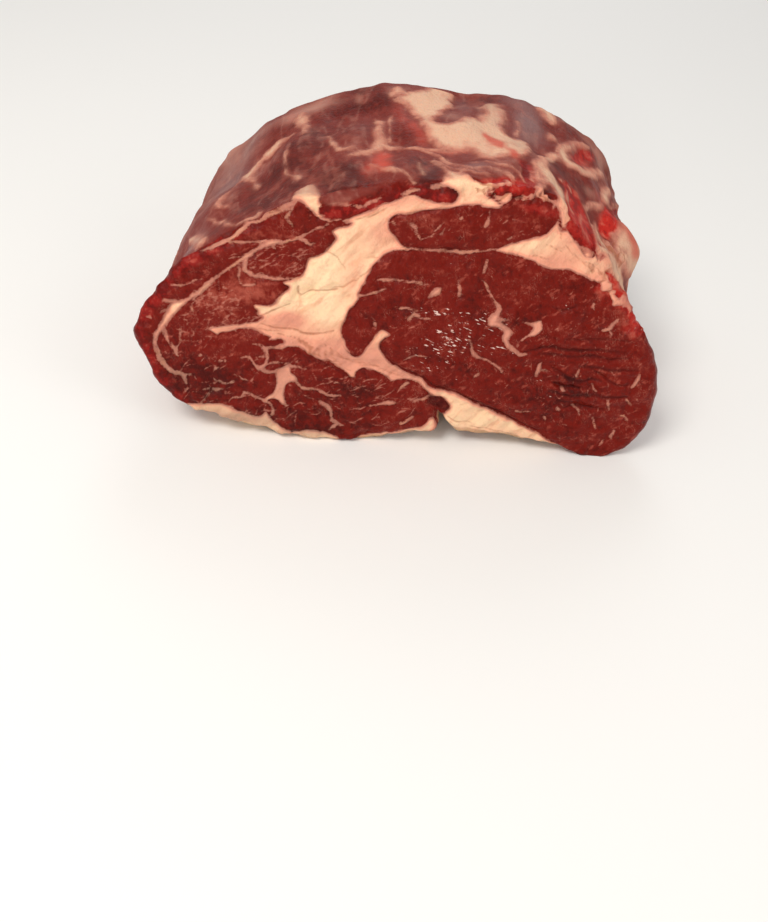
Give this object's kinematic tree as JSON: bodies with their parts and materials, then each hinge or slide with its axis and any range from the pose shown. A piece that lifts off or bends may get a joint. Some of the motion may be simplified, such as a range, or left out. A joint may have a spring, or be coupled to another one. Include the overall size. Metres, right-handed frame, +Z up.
{
  "type": "dry-aged ribeye steak",
  "caption": "Thick boneless dry-aged ribeye: a fresh red cut face with seams of cream fat and fine marbling, on a body with a dried, darkened outside, resting on its flattened fat cap.",
  "frame": {"origin": "middle of the bounding box, at the height of the flat face that it rests on", "axes": "+X across the cut face, from the thin cap end to the round eye end; +Y from the fresh cut face to the dried back end; +Z up"},
  "size_m": [0.1948, 0.1184, 0.1029],
  "materials": {
    "aged_beef": "moist dark red meat with cream fat"
  },
  "bodies": {
    "root": {"ribeye_steak": "aged_beef"}
  },
  "joints": []
}
